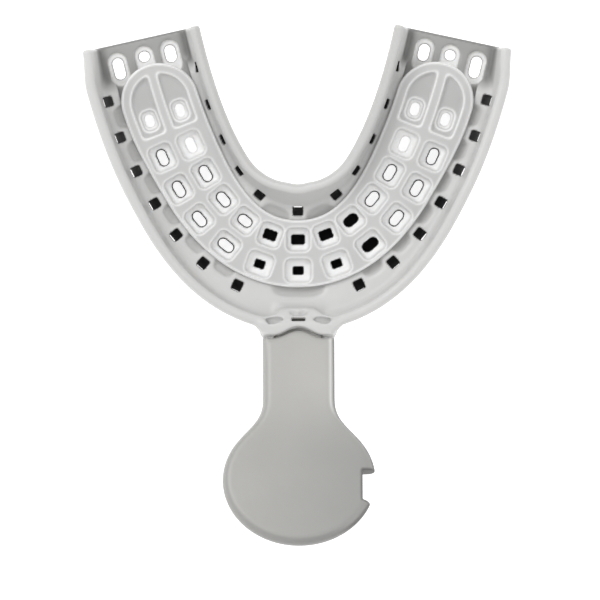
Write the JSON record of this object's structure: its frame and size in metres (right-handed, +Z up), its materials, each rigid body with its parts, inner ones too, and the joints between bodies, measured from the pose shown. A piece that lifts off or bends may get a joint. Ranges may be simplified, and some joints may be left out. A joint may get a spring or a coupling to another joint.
{
  "type": "dental impression tray",
  "caption": "Perforated lower-arch impression tray with a pocketed spacer strip in its trough and a push-fit paddle handle.",
  "frame": {"origin": "middle of the bounding box's underside, on the surface that the trough's floor rests on", "axes": "+Y towards the open ends of the arch, -Y along the handle, +Z up out of the trough, +X to the right with the handle towards the viewer"},
  "size_m": [0.076, 0.0922, 0.0212],
  "materials": {
    "tray_plastic": "satin, slightly translucent moulded plastic",
    "spacer_plastic": "satin, slightly translucent moulded plastic",
    "handle_plastic": "satin moulded plastic"
  },
  "bodies": {
    "tray": {"tray_shell": "tray_plastic"},
    "spacer": {"spacer_insert": "spacer_plastic"},
    "handle": {"handle": "handle_plastic"}
  },
  "joints": [
    {"name": "handle_release", "type": "slide", "parent": "tray", "child": "handle", "axis": [0, -0.9511, 0.309], "range_m": [0, 0.014]},
    {"name": "spacer_lift", "type": "slide", "parent": "tray", "child": "spacer", "axis": [0, 0, 1], "range_m": [0, 0.018]}
  ]
}
